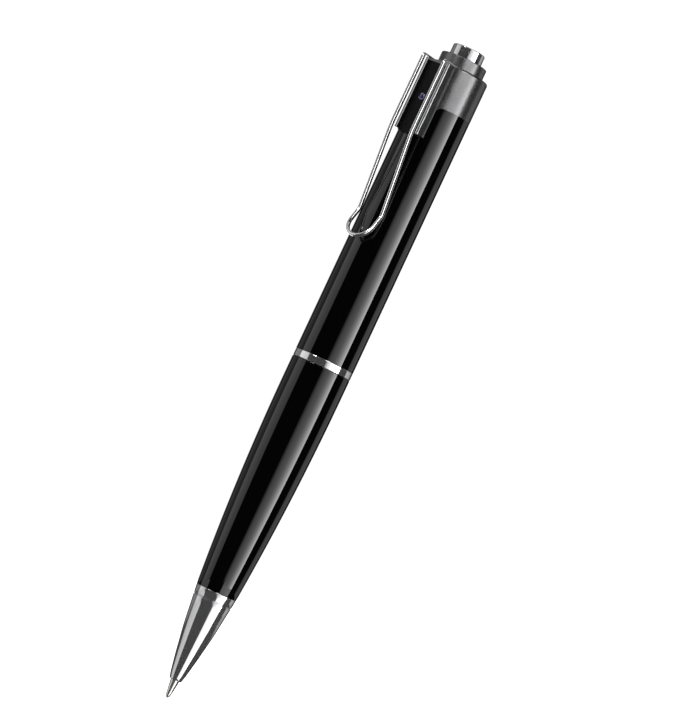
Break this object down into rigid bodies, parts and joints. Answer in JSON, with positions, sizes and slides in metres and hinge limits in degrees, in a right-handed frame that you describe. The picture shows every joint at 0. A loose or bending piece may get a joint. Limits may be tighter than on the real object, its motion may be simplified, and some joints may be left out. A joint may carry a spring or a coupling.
{
  "type": "pen camera",
  "caption": "Ballpoint pen with a camera lens in the cap beneath an open wire pocket clip, a record button on top, and a barrel that pulls apart at a polished band.",
  "frame": {"origin": "the tip of the writing ball, on the axis of the pen", "axes": "+Z runs along the pen from the writing tip to the record button; the clip and the lens face -Y; +X is to the right of the lens"},
  "size_m": [0.0132, 0.0167, 0.149],
  "materials": {
    "black_lacquer": "deep black gloss lacquer on brass",
    "gunmetal": "satin dark grey metallic",
    "dark_chrome": "polished, slightly smoked",
    "bright_chrome": "polished",
    "camera_black": "fine satin black",
    "bezel_black": "smooth black",
    "coated_glass": "violet anti-reflection coating",
    "clear_glass": "clear",
    "filter_glass": "blue-green infrared filter",
    "anodised": "black anodised",
    "steel": "bright drawn steel",
    "nickel": "nickel plated, satin",
    "brass": "turned",
    "ink": "thick dark ink",
    "grease": "pale gel",
    "white_plastic": "moulded",
    "black_plastic": "moulded",
    "board": "green solder mask on glass laminate",
    "chip_black": "moulded chip package",
    "foil": "satin foil pouch",
    "foam": "adhesive foam",
    "polyimide": "amber film",
    "rubber_black": "smooth",
    "lamp": "milky resin",
    "silicon": "bare die under cover glass"
  },
  "bodies": {
    "upper_half": {"coupler": "nickel", "seal_ring": "rubber_black", "mid_band": "bright_chrome", "upper_barrel": "black_lacquer", "cap_shell": "gunmetal", "camera_block": "camera_black", "lens_bezel": "bezel_black", "lens_glass": "coated_glass", "lens_barrel": "anodised", "rear_lens": "clear_glass", "infrared_filter": "filter_glass", "image_sensor": "silicon", "sensor_ribbon": "polyimide", "ribbon_connector": "black_plastic", "collar": "gunmetal", "collar_nut": "nickel", "button_spring": "steel", "switch_board": "board", "tactile_switch": "black_plastic", "status_lamp": "lamp", "main_board": "board", "port_shell": "steel", "port_insulator": "black_plastic", "battery": "foil", "foam_pad": "foam", "battery_tab_left": "nickel", "battery_tab_right": "nickel", "inner_chassis": "black_plastic", "power_chip": "chip_black", "memory_chip": "chip_black", "crystal": "steel", "processor": "chip_black", "microphone": "steel"},
    "lower_half": {"lower_barrel": "black_lacquer", "nose_cone": "dark_chrome", "refill_guide": "white_plastic"},
    "refill": {"refill_point": "nickel", "refill_tube": "brass", "ink_column": "ink", "ink_follower": "grease", "refill_end_cap": "white_plastic"},
    "ball": {"writing_ball": "steel"},
    "button": {"record_button": "dark_chrome"},
    "clip": {"pocket_clip": "bright_chrome"}
  },
  "joints": [
    {"name": "lower_half_pull", "type": "slide", "parent": "upper_half", "child": "lower_half", "axis": [0, 0, -1], "range_m": [0, 0.04]},
    {"name": "refill_float", "type": "slide", "parent": "lower_half", "child": "refill", "axis": [0, 0, 1], "range_m": [0, 0.00035]},
    {"name": "ball_roll", "type": "hinge", "parent": "refill", "child": "ball", "pos_m": [0, 0, 0.00035], "axis": [1, 0, 0], "continuous": true},
    {"name": "button_press", "type": "slide", "parent": "upper_half", "child": "button", "axis": [0, 0, -1], "range_m": [0, 0.00055], "stiffness_N_per_m": 1000, "springref_m": -0.001, "deforming": ["button_spring"]},
    {"name": "clip_flex", "type": "hinge", "parent": "upper_half", "child": "clip", "pos_m": [0, -0.00505, 0.1429], "axis": [-1, 0, 0], "range_deg": [0, 4], "stiffness_Nm_per_rad": 2, "springref_deg": -1.15}
  ]
}
